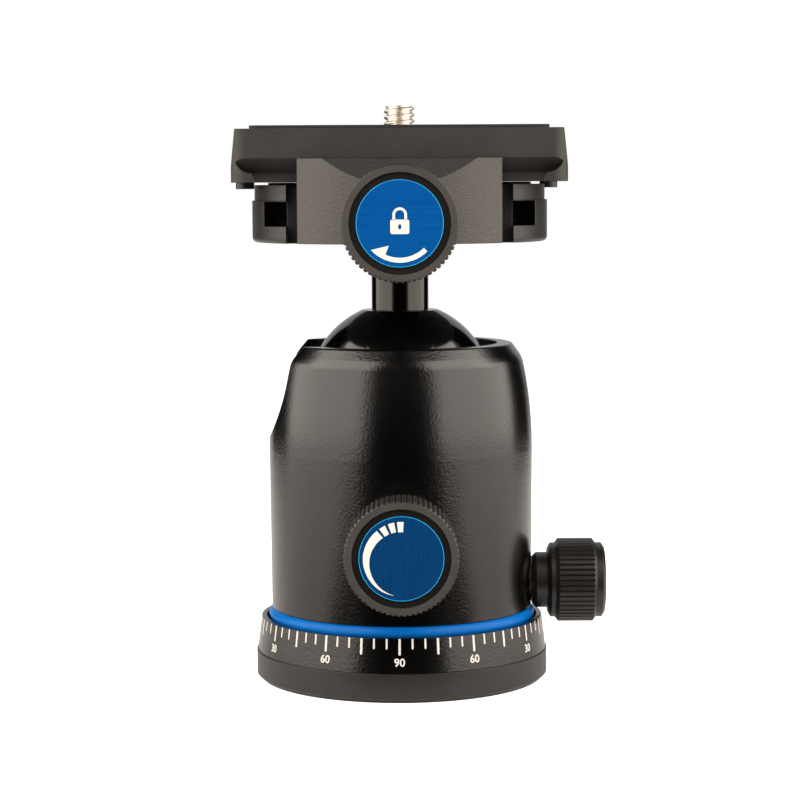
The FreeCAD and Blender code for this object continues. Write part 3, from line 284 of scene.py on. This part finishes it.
# %% A closed surface over a grid
def surface(name, grid, finish, body, wrap_rows=False, sharp=35.0):
    """A closed skin over points of shape (rows, columns, 3). The columns always close on themselves."""
    rows, columns = grid.shape[:2]
    row = np.arange(rows if wrap_rows else rows - 1)[:, None]
    column = np.arange(columns)[None, :]
    next_row, next_column = (row + 1) % rows, (column + 1) % columns
    cells = np.stack([row * columns + column, row * columns + next_column,
                      next_row * columns + next_column, next_row * columns + column], axis=-1)
    faces = cells.reshape(-1, 4).tolist()
    if not wrap_rows:
        first = np.arange(columns)
        faces += [first.tolist(), (first + (rows - 1) * columns)[::-1].tolist()]
    return piece_from(name, grid.reshape(-1, 3), faces, finish, body, sharp)


# %% From points and faces to a piece
def piece_from(name, points, faces, finish, body, sharp=35.0):
    """A mesh piece, in millimetres in and metres out, with its faces turned outwards.

    It rides on the body, or on no body when none is given."""
    mesh = bpy.data.meshes.new(name)
    mesh.from_pydata((np.asarray(points) * MM).tolist(), [], faces)
    shell = bmesh.new()
    shell.from_mesh(mesh)
    bmesh.ops.recalc_face_normals(shell, faces=shell.faces)
    shell.to_mesh(mesh)
    shell.free()
    mesh.polygons.foreach_set("use_smooth", np.ones(len(mesh.polygons), dtype=bool))
    mesh.set_sharp_from_angle(angle=math.radians(sharp))
    mesh.materials.append(finish)
    piece = bpy.data.objects.new(name, mesh)
    scene.collection.objects.link(piece)
    if body:
        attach(piece, body)
    print(name, "faces:", len(mesh.polygons))
    return piece


# %% [markdown]
# ## Printed marks
# The degree scale, its numbers, the arrow and the gauge are printed in warm white. Ink has a
# thickness of a few hundredths of a millimetre, so each mark is a thin raised slab that is sunk a
# little into what carries it. That is easier to see from any side than a painted texture.

# %% The ink
ink = skin("warm_white_print", (0.64, 0.62, 0.585), 0.60, (0.3, EVEN), (0.1, EVEN), 0.004, edge=0.02,
           spread=0.03)
# A brighter blue for the beads round the discs' rims: a painted highlight.
glint = skin("painted_rim_highlight", (0.0, 0.30, 0.62), 0.25, (0.3, EVEN), (0.1, EVEN), 0.002, edge=0.02)
INK_SINK, INK_RISE = 0.03, 0.045

# %% [markdown]
# ## The degree scale
# The scale is printed on a ring that narrows upwards. A mark every 5 degrees, a longer one every
# 15 and a number every 30 go round it. A flat drawing is rolled onto the cone: its x becomes an
# angle, its y a step down the slope and its z a step outwards. The ring is panned a little, so
# that its 90 stands just left of the knobs.

# %% Roll a drawing onto the cone
CONE_LOW, CONE_HIGH = (30.2, 6.0), (29.3, 13.0)
SCALE_TURN = math.radians(-0.86)


def on_cone(azimuth, height, out):
    """A point at an angle from the front, at a height, raised outwards from the cone."""
    slope = (CONE_LOW[0] - CONE_HIGH[0]) / (CONE_HIGH[1] - CONE_LOW[1])
    lean = math.atan(slope)
    radius = CONE_LOW[0] - slope * (height - CONE_LOW[1]) + out * math.cos(lean)
    return np.stack([radius * np.sin(azimuth), -radius * np.cos(azimuth),
                     height + out * math.sin(lean)], axis=-1)


# %% The 72 marks
MARK_TOP, LONG_FOOT, SHORT_FOOT = 12.93, 9.70, 10.88
BAND_RADIUS = 29.8


def scale_marks():
    """Slabs with rounded feet: each outline is a bar whose lower end is half an ellipse."""
    turn = np.radians(np.arange(72) * 5.0) + SCALE_TURN
    long_one = np.arange(72) % 3 == 0
    foot = np.where(long_one, LONG_FOOT, SHORT_FOOT)
    half = np.where(long_one, 0.235, 0.185)
    bend = np.radians(np.linspace(180, 360, 9))
    side = np.concatenate([[1.0, -1.0], np.cos(bend)])
    drop = np.concatenate([[0.0, 0.0], np.sin(bend)])
    at_top = np.concatenate([[1.0, 1.0], np.zeros(9)])
    across = half[:, None] * side
    height = np.where(at_top > 0, MARK_TOP, foot[:, None] + 0.2 + 0.2 * drop)
    azimuth = turn[:, None] + across / BAND_RADIUS
    layers = [on_cone(azimuth, height, out) for out in (-INK_SINK, INK_RISE)]
    count = len(side)
    points = np.concatenate(layers, axis=1)
    first = np.arange(72)[:, None] * 2 * count
    step = np.arange(count)
    walls = np.stack([step, (step + 1) % count, count + (step + 1) % count, count + step], axis=-1)
    faces = (first[:, :, None] + walls[None]).reshape(-1, 4).tolist()
    faces += (first + step).tolist() + (first + count + step[::-1]).tolist()
    return piece_from("scale_marks", points.reshape(-1, 3), faces, ink, "base")


marks = scale_marks()

# %% [markdown]
# ## The numbers
# The digits are set in Blender's own plain typeface, made bolder by an offset. The text becomes a
# mesh first, and only then are its points rolled onto the cone.

# %% Digits as a flat mesh
def digits(word, size):
    """Points in millimetres and faces of a word, centred, from -1 to 1 in thickness."""
    curve = bpy.data.curves.new("digits", "FONT")
    curve.body = word
    curve.size = size
    curve.offset = 0.045
    curve.extrude = 1.0
    curve.resolution_u = 3
    curve.align_x, curve.align_y = "CENTER", "CENTER"
    holder = bpy.data.objects.new("digits", curve)
    scene.collection.objects.link(holder)
    graph = bpy.context.evaluated_depsgraph_get()
    mesh = bpy.data.meshes.new_from_object(holder.evaluated_get(graph))
    shell = bmesh.new()
    shell.from_mesh(mesh)
    bmesh.ops.remove_doubles(shell, verts=shell.verts, dist=1e-5)
    shell.to_mesh(mesh)
    shell.free()
    points = np.empty(len(mesh.vertices) * 3)
    mesh.vertices.foreach_get("co", points)
    points = points.reshape(-1, 3)
    middle = (points.max(axis=0) + points.min(axis=0)) / 2
    faces = [list(face.vertices) for face in mesh.polygons]
    bpy.data.objects.remove(holder)
    return points - middle * (1, 1, 0), faces


# %% The twelve numbers on the cone
NUMBER_SIZE, NUMBER_HEIGHT, NUMBER_RADIUS = 2.22, 8.29, 30.0


def scale_numbers():
    """Each number is placed by its angle from the front; x / radius is the angle inside it."""
    points, faces, start = [], [], 0
    drawn = {word: digits(word, NUMBER_SIZE) for word in ("0", "30", "60", "90")}
    for angle in range(-150, 181, 30):
        shape, cells = drawn[str(abs(90 - abs(angle)))]
        azimuth = math.radians(angle) + SCALE_TURN + shape[:, 0] / NUMBER_RADIUS
        out = np.where(shape[:, 2] > 0, INK_RISE, -INK_SINK)
        points.append(on_cone(azimuth, NUMBER_HEIGHT + shape[:, 1], out))
        faces += [[start + i for i in cell] for cell in cells]
        start += len(shape)
    return piece_from("scale_numbers", np.concatenate(points), faces, ink, "base")


numbers = scale_numbers()

# %% [markdown]
# ## Signs on the discs
# The clamp's disc carries a padlock over a curved arrow, and the lock's disc a gauge that swells
# from a point. Each is a ribbon: two matching edge lines, given as fractions of the disc's
# radius, with a thin slab between them.

# %% A ribbon between two lines
DISC_RADIUS = 8.28
CLAMP_FACE = {"depth": -46.55, "height": CLAMP_KNOB_HEIGHT}
LOCK_FACE = {"depth": -41.35, "height": LOCK_KNOB_HEIGHT}


def ribbon(name, left, right, face, body, finish=ink, wrap_rows=False):
    """A slab whose two edge lines are left and right, standing on a disc's face."""
    left, right = (np.asarray(line, float) * DISC_RADIUS for line in (left, right))
    deep, proud = face["depth"] + INK_SINK, face["depth"] - INK_RISE
    corners = [(left, deep), (right, deep), (right, proud), (left, proud)]
    grid = np.stack([np.stack([line[:, 0], np.full(len(line), level), line[:, 1] + face["height"]],
                              axis=-1) for line, level in corners], axis=1)
    return surface(name, grid, finish, body, wrap_rows)


def polar(radius, degrees):
    """Points at a radius and at angles measured from the bottom, to the right."""
    angle = np.radians(degrees)
    return np.stack([radius * np.sin(angle), -radius * np.cos(angle)], axis=-1)


# %% The curved arrow
sweep = np.linspace(44.5, -25.3, 40)
barb = np.linspace(0, 1, 16)[:, None]
tip = np.array([-0.672, -0.604])
arrow_outer = np.concatenate([polar(0.889, sweep), polar(0.889, np.linspace(-25.9, -47.9, 16))])
arrow_inner = np.concatenate([polar(0.778, sweep),
                              (1 - barb) * (-0.254, -0.506) + barb * (tip + (0.006, 0.004))])
arrow = ribbon("turn_arrow", arrow_outer, arrow_inner, CLAMP_FACE, "clamp_knob")

# %% [markdown]
# ## The padlock
# A plain padlock says what the knob does. Its body is a rounded square with a keyhole, so its
# ribbon closes on itself, and the shackle is a bent bar: two straight legs and half a ring.

# %% The padlock's body
def rounded_square(half_width, half_height, power, angle):
    """A superellipse: |x/a|^p + |y/b|^p = 1, followed by its angle."""
    c, s = np.cos(angle), np.sin(angle)
    reach = (np.abs(c / half_width) ** power + np.abs(s / half_height) ** power) ** (-1 / power)
    return np.stack([reach * c, reach * s], axis=-1)


circle = np.linspace(0, 2 * np.pi, 96, endpoint=False)
body_outline = rounded_square(0.215, 0.165, 9, circle) + (0, -0.075)
keyhole = rounded_square(0.038, 0.062, 2, circle) + (0, -0.075)
lock_body = ribbon("padlock_body", body_outline, keyhole, CLAMP_FACE, "clamp_knob", wrap_rows=True)

# %% The padlock's shackle
leg = np.linspace(0.07, 0.20, 6)[:, None]
arch = np.linspace(90, 270, 32)[1:-1]
shackle = []
for radius in (0.165, 0.105):
    right_leg = np.hstack([np.full_like(leg, radius), leg])
    bend = polar(radius, arch) + (0, 0.20)
    shackle.append(np.concatenate([right_leg, bend, right_leg[::-1] * (-1, 1)]))
lock_shackle = ribbon("padlock_shackle", shackle[0], shackle[1], CLAMP_FACE, "clamp_knob")

# %% [markdown]
# ## The gauge
# A solid sickle runs down the left of the lock's disc and three short blocks finish it over the
# top. Angles are read anticlockwise from the top, so here they are turned to start at the bottom.

# %% The gauge's sickle and blocks
def gauge_line(radius, from_top):
    return polar(radius, 180 + np.asarray(from_top, float))


run = np.linspace(40.7, 167.8, 64)
outer = np.interp(run, [40.7, 90, 140, 167.8], [0.872, 0.90, 0.895, 0.885])
inner = np.interp(run, [40.7, 65, 90, 120, 145, 167.8], [0.655, 0.695, 0.742, 0.80, 0.848, 0.880])
sickle = ribbon("gauge_sickle", gauge_line(outer, run), gauge_line(inner, run), LOCK_FACE, "lock_knob")
for number, (low, high, depth) in enumerate(((26, 36, 0.65), (11, 21, 0.64), (-3.7, 6.6, 0.63))):
    run = np.linspace(low, high, 8)
    ribbon("gauge_block_%d" % (number + 1), gauge_line(0.87, run), gauge_line(depth, run),
           LOCK_FACE, "lock_knob")

# %% [markdown]
# ## A painted highlight round the discs
# The rim of each disc shows as a thin bright line where its edge catches the light. A small bead
# turned about the knob's axis, in a brighter blue than the disc, paints that highlight.

# %% A bead round a disc
def bead(name, face, body):
    """A ring of small circular section: centre circle of the disc's rim, carried once round."""
    round_axis = np.linspace(0, 2 * np.pi, 160, endpoint=False)[:, None]
    section = np.linspace(0, 2 * np.pi, 10, endpoint=False)[None, :]
    radius = DISC_RADIUS - 0.07 + 0.07 * np.cos(section)
    depth = face["depth"] + 0.03 - 0.06 * np.sin(section) + 0 * round_axis
    grid = np.stack([radius * np.sin(round_axis), depth, face["height"] + radius * np.cos(round_axis)],
                    axis=-1)
    return surface(name, grid, glint, body, wrap_rows=True)


clamp_rim = bead("clamp_disc_rim", CLAMP_FACE, "clamp_knob")
lock_rim = bead("lock_disc_rim", LOCK_FACE, "lock_knob")

# %% [markdown]
# ## Screw threads
# A thread is a cylinder whose radius rises and falls with the height, and whose pattern turns
# once for each pitch it climbs. On a right-hand thread the crest climbs as it goes anticlockwise
# seen from above. The V is cut flat at crest and root, as a real one is.

# %% The thread's profile
def thread_rise(height, angle, pitch):
    """0 at the root, 1 at the crest; the crest is where height / pitch - angle / turn is whole."""
    phase = (height / pitch - angle / (2 * np.pi)) % 1.0
    distance = np.abs(phase - 0.5) * 2
    return np.clip((distance - 0.18) / 0.64, 0, 1)


# %% The camera screw's thread
def camera_thread(low=114.5, high=118.8, crest=3.175, root=2.60, pitch=1.27, chamfer=0.5):
    """Radius = root + rise * (crest - root), kept under the chamfer's line near the top."""
    height = np.linspace(low, high, 110)[:, None]
    angle = np.linspace(0, 2 * np.pi, 96, endpoint=False)[None, :]
    radius = root + thread_rise(height - low, angle, pitch) * (crest - root)
    radius = np.minimum(radius, crest - chamfer + (high - height))
    grid = np.stack([radius * np.cos(angle), radius * np.sin(angle), height + 0 * angle], axis=-1)
    return surface("camera_screw_thread", grid, thread_steel, "camera_screw", sharp=50)


thread = camera_thread()

# %% The camera screw's head and neck
shell = bmesh.new()
shell.from_mesh(nodes["camera_screw"].data)
bmesh.ops.remove_doubles(shell, verts=shell.verts, dist=1e-7)
bmesh.ops.bisect_plane(shell, geom=shell.verts[:] + shell.edges[:] + shell.faces[:], dist=1e-8,
                       plane_co=(0, 0, 114.58 * MM), plane_no=(0, 0, 1), clear_outer=True)
bmesh.ops.holes_fill(shell, edges=[e for e in shell.edges if e.is_boundary], sides=0)
head_points = np.array([v.co[:] for v in shell.verts]) / MM
head_faces = [[v.index for v in face.verts] for face in shell.faces]
shell.free()
head = piece_from("camera_screw_head", head_points, head_faces, thread_steel, "camera_screw")
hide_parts("camera_screw")
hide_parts("camera_screw")

# %% The thread inside the tripod bush
def bush_thread(low=0.6, high=12.8, bore=4.7625, crest=4.05, pitch=1.5875):
    """A tube whose outer wall sits in the bush and whose inner wall rises and falls as a thread."""
    height = np.linspace(low, high, 150)[:, None]
    angle = np.linspace(0, 2 * np.pi, 64, endpoint=False)[None, :]
    rise = thread_rise(height - low, angle, pitch)
    fade = np.clip(np.minimum(height - low, high - height) / 0.7, 0, 1)
    inner = bore - 0.03 - rise * fade * (bore - crest)
    walls = [np.stack([r * np.cos(angle), r * np.sin(angle), height + 0 * angle], axis=-1)
             for r in (inner, np.full_like(inner, bore + 0.05))]
    grid = np.concatenate([walls[0], walls[1][::-1]])
    return surface("tripod_bush_thread", grid, steel, "base", wrap_rows=True, sharp=50)


bush = bush_thread()

# %% [markdown]
# ## The jaw spring
# The jaw opens on a small coil spring round the clamp bolt. Wire of a round section is carried
# along a helix, with the end turns lying flat. The spring reaches from the clamp to the jaw, and
# is built where it stands at rest, on no body.

# %% Wind the spring
def wound_spring(near=-14.1, far=-20.5, mean=3.88, wire=0.42, turns=5.5):
    """Centre line: a helix along Y whose pitch is small in the first and last turn."""
    t = np.linspace(0, 1, 280)
    ease = np.interp(t, [0, 0.16, 0.84, 1], [0, 0.065, 0.935, 1])
    angle = 2 * np.pi * turns * t
    along = near - wire + (far - near + 2 * wire) * ease
    around = np.linspace(0, 2 * np.pi, 10, endpoint=False)[None, :]
    radius = mean + wire * np.cos(around)
    grid = np.stack([radius * np.cos(angle)[:, None],
                     along[:, None] + wire * np.sin(around),
                     CLAMP_KNOB_HEIGHT + radius * np.sin(angle)[:, None]], axis=-1)
    return surface("jaw_spring_coil", grid, steel, None, sharp=60)


spring = wound_spring()
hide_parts("jaw_spring")
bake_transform(spring)

# %% Print the slot name meant for each new metal piece
for piece, slot in ((thread, "bright_steel"), (head, "bright_steel"), (bush, "steel"), (spring, "steel"),
                    (clamp_rim, "clamp_disc_blue"), (lock_rim, "lock_disc_blue")):
    print(piece.name, "wears", slot)

# %% [markdown]
# ## A white room
# The head stands on a pale floor in front of a white sweep. The floor and the world look white to
# the camera and in reflections through the Light Path node, while the light they give back is
# modest. Warm soft boxes at the sides draw the long highlights, and a black card in front, which
# the camera looks straight through, keeps the middle of the shell dark, as in a photographer's set.

# %% Who is looking
def seen(tree, straight=1.0, bounced=1.0, base=0.0):
    """base, plus straight for the camera's rays and bounced for reflections and through glass."""
    path = tree.nodes.new("ShaderNodeLightPath").outputs
    either = add(tree, "ShaderNodeMath", {0: path["Is Glossy Ray"], 1: path["Is Transmission Ray"]},
                 operation="MAXIMUM").outputs[0]
    level = add(tree, "ShaderNodeMath", {0: either, 1: bounced, 2: base}, operation="MULTIPLY_ADD")
    return total(tree, level.outputs[0], path["Is Camera Ray"], straight)


# %% The world
world = bpy.data.worlds.new("white_room")
world.use_nodes = True
scene.world = world
sky = world.node_tree.nodes["Background"]
sky.inputs["Color"].default_value = (1, 1, 1, 1)
world.node_tree.links.new(seen(world.node_tree, straight=0.75, bounced=0.35, base=0.25),
                          sky.inputs["Strength"])

# %% The floor
def flat_sheet(name, corners, finish):
    mesh = bpy.data.meshes.new(name)
    mesh.from_pydata(corners, [], [[0, 1, 2, 3]])
    mesh.materials.append(finish)
    sheet = bpy.data.objects.new(name, mesh)
    scene.collection.objects.link(sheet)
    return sheet


paper = bpy.data.materials.new("pale_floor")
paper.use_nodes = True
tree = paper.node_tree
tree.nodes.remove(tree.nodes["Principled BSDF"])
matt = add(tree, "ShaderNodeBsdfDiffuse", {"Color": (0.78, 0.78, 0.78, 1)})
glow = add(tree, "ShaderNodeEmission", {"Color": (1, 1, 1, 1),
                                        "Strength": seen(tree, straight=0.8, bounced=0.04)})
both = add(tree, "ShaderNodeAddShader", {0: matt.outputs[0], 1: glow.outputs[0]})
tree.links.new(both.outputs[0], tree.nodes["Material Output"].inputs["Surface"])
floor = flat_sheet("floor", [(-3, -3, 0), (3, -3, 0), (3, 3, 0), (-3, 3, 0)], paper)
print("floor and world ready")

# %% [markdown]
# ## Black cards
# Cards that the camera can't see shape the reflections: one in front, wider at its foot, one lying
# on the floor before it, one overhead and one at each side behind the soft boxes. They cast no
# shadow and take no part in the soft light.

# %% The cards
card_black = bpy.data.materials.new("black_card")
card_black.use_nodes = True
card_paint = card_black.node_tree.nodes["Principled BSDF"].inputs
card_paint["Base Color"].default_value = (0.002, 0.002, 0.002, 1)
card_paint["Roughness"].default_value = 1.0
card_paint["Specular IOR Level"].default_value = 0.0


def hide_from_all_but_gloss(sheet):
    sheet.visible_camera = sheet.visible_diffuse = sheet.visible_shadow = False
    sheet.visible_transmission = sheet.visible_volume_scatter = False


def card(name, start, end, low, high):
    """An upright card from one floor point to another."""
    (ax, ay), (bx, by) = start, end
    made = flat_sheet(name, [(ax, ay, low), (bx, by, low), (bx, by, high), (ax, ay, high)], card_black)
    hide_from_all_but_gloss(made)
    return made


front_card = card("front_card", (-0.105, -0.22), (0.105, -0.22), 0.0, 0.7)
card_foot = flat_sheet("front_card_foot", [(-0.18, -0.219, 0.0), (0.18, -0.219, 0.0), (0.10, -0.219, 0.06),
                                           (-0.10, -0.219, 0.06)], card_black)
hide_from_all_but_gloss(card_foot)
right_card = card("right_rear_card", (0.40, 0.18), (0.22, 0.36), 0.0, 0.8)
left_card = card("left_rear_card", (-0.40, 0.18), (-0.22, 0.36), 0.0, 0.8)
floor_card = flat_sheet("floor_card", [(-0.085, -0.045, 0.0005), (0.085, -0.045, 0.0005),
                                       (0.22, -0.215, 0.0005), (-0.22, -0.215, 0.0005)], card_black)
hide_from_all_but_gloss(floor_card)
roof_card = flat_sheet("roof_card", [(-0.45, -0.31, 0.9), (0.45, -0.31, 0.9), (0.45, 0.5, 0.9),
                                     (-0.45, 0.5, 0.9)], card_black)
hide_from_all_but_gloss(roof_card)
print("cards ready")

# %% [markdown]
# ## Soft boxes
# Each side has two large area lamps that face the head, a little warm: a low one level with the
# head and a brighter one over it. A weak one from above fills the top faces without showing in
# the gloss.

# %% Hang a soft box
def soft_box(name, azimuth, elevation, distance, width, height, power, tint=(1.0, 0.90, 0.79)):
    """A lamp at an angle from the front (right positive), aimed at the middle of the head."""
    lamp = bpy.data.lights.new(name, "AREA")
    lamp.shape, lamp.size, lamp.size_y = "RECTANGLE", width, height
    lamp.energy, lamp.color = power, tint
    box = bpy.data.objects.new(name, lamp)
    a, e = math.radians(azimuth), math.radians(elevation)
    aim = Vector((0, 0, 0.06))
    spot = aim + distance * Vector((math.cos(e) * math.sin(a), -math.cos(e) * math.cos(a), math.sin(e)))
    box.matrix_world = Matrix.Translation(spot) @ (spot - aim).to_track_quat("Z", "Y").to_matrix().to_4x4()
    box.visible_camera = False
    scene.collection.objects.link(box)
    print(name, "at", [round(c, 3) for c in spot])
    return box


for side, name in ((-1, "left"), (1, "right")):
    soft_box(name + "_low_box", side * 73, 9, distance=0.70, width=1.20, height=0.40, power=4.0)
    soft_box(name + "_high_box", side * 55, 41, distance=0.70, width=1.14, height=0.44, power=6.0)
top_box = soft_box("top_fill", 0, 78, distance=0.80, width=0.70, height=0.70, power=0.5)
top_box.visible_glossy = False

# %% [markdown]
# ## The camera
# The picture was taken from the front with a long lens, a little above the head and tilted down
# five degrees. The camera's place was worked out from the object's known edges.

# %% Set the camera
eye = bpy.data.cameras.new("front_view")
eye.lens, eye.sensor_width, eye.clip_start = 107.1, 36.0, 0.01
camera = bpy.data.objects.new("front_view", eye)
camera.matrix_world = (Matrix.Translation((-0.00012, -0.495, 0.1035))
                       @ Matrix.Rotation(math.radians(90 - 5.27), 4, "X")
                       @ Matrix.Rotation(math.radians(-0.29), 4, "Z"))
scene.collection.objects.link(camera)
scene.camera = camera
